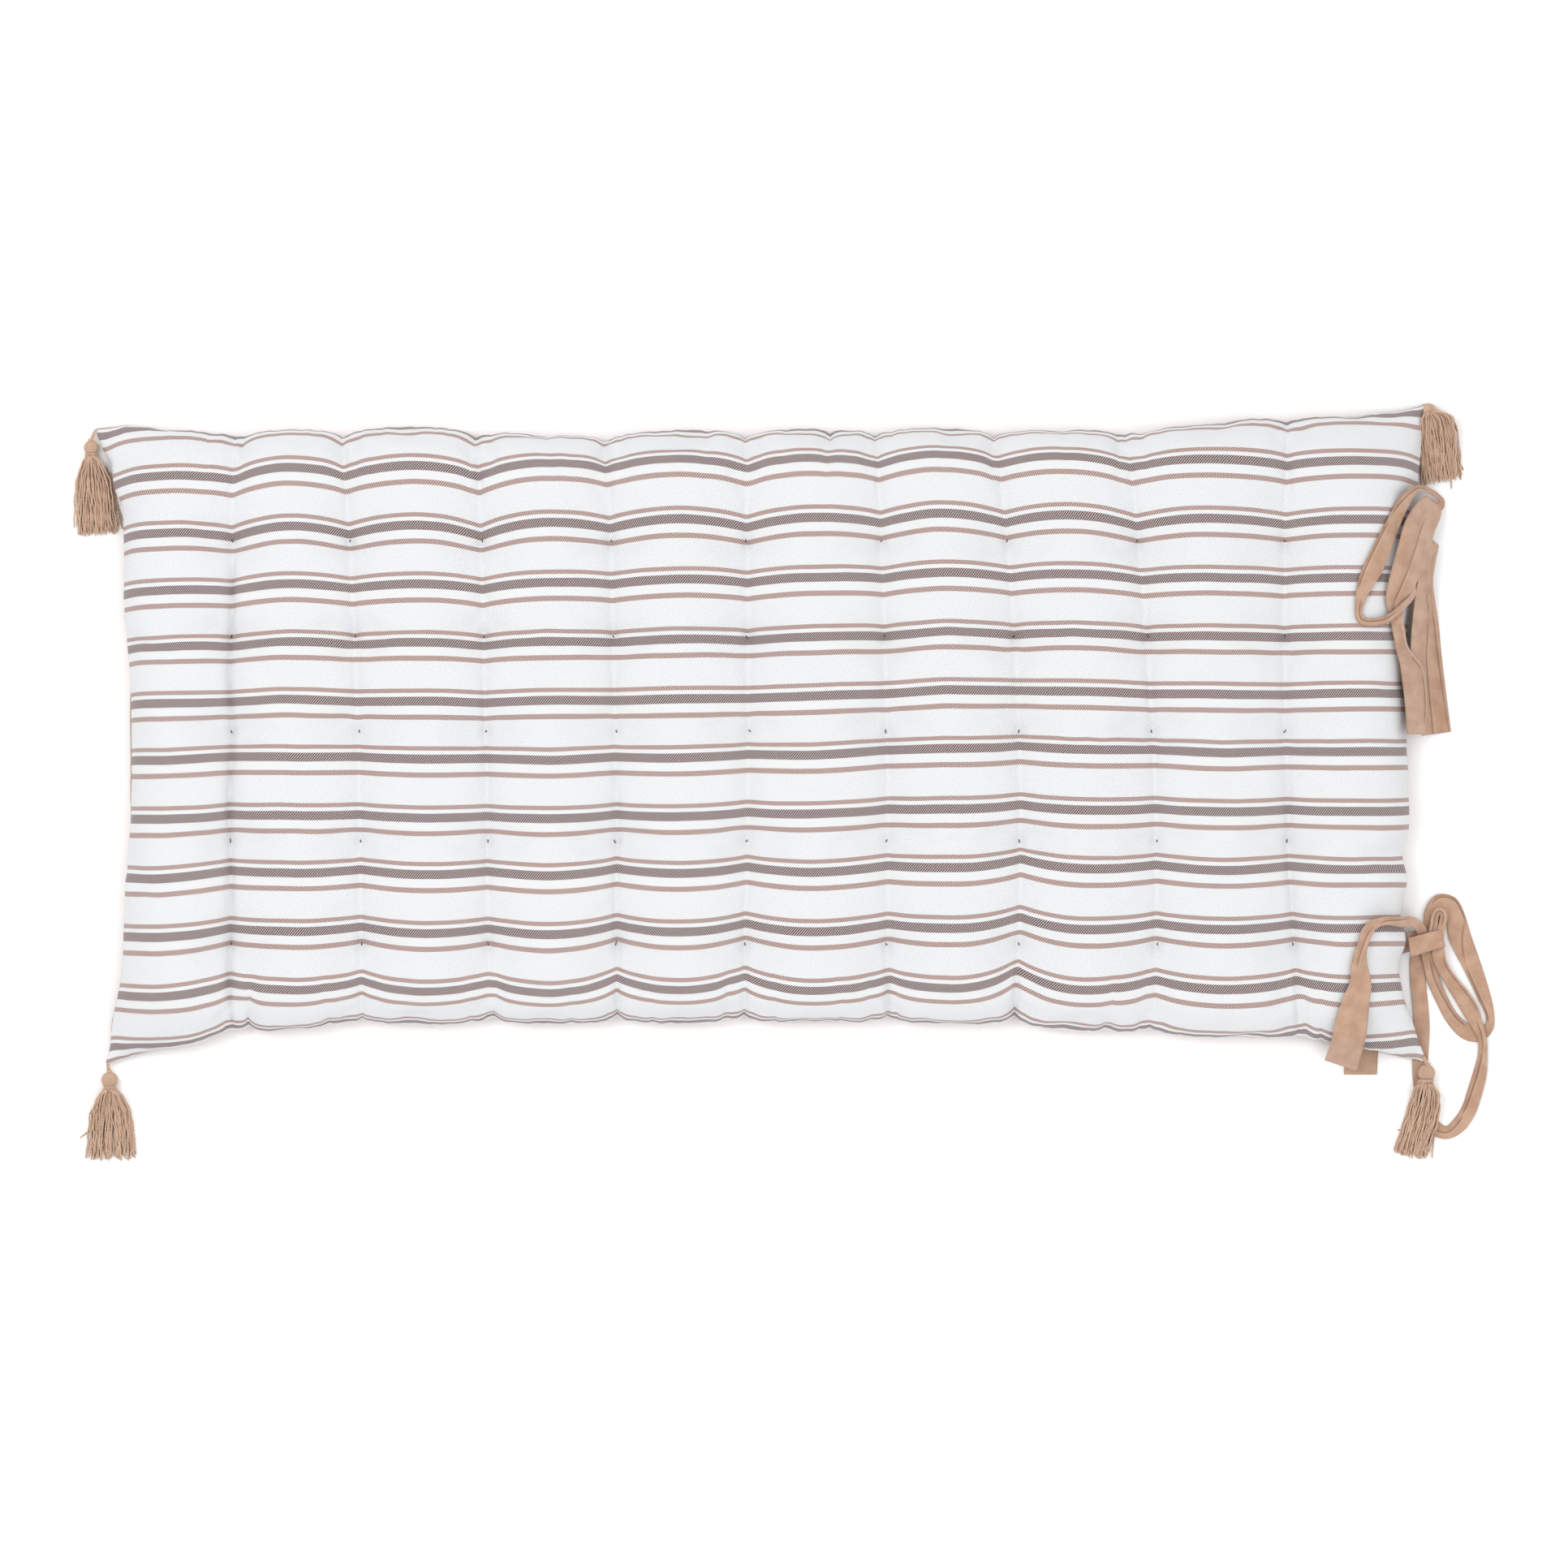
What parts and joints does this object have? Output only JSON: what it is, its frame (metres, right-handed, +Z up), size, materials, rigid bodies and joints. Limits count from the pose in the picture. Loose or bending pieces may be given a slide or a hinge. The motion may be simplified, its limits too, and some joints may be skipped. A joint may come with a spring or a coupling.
{
  "type": "floor mattress",
  "caption": "Tufted floor mattress with a striped twill front, a plain back, corner tassels and cloth ties at one end.",
  "frame": {"origin": "on the floor, under the middle of the object's box", "axes": "+X along the mattress to the end with the ties, +Y to its back edge, +Z up from the floor"},
  "size_m": [1.3169, 0.7, 0.0646],
  "materials": {
    "cover": "cotton twill, off-white with woven stripes",
    "yarn": "twisted camel cotton yarn",
    "tie_cloth": "plain camel cotton"
  },
  "bodies": {
    "root": {"mattress": "cover", "tassel_back_left": "yarn", "tassel_back_right": "yarn", "tassel_front_left": "yarn", "tassel_front_right": "yarn", "tie_back_looped": "tie_cloth", "tie_back_folded": "tie_cloth", "tie_front_bow": "tie_cloth", "tie_front_wrap": "tie_cloth"}
  },
  "joints": []
}
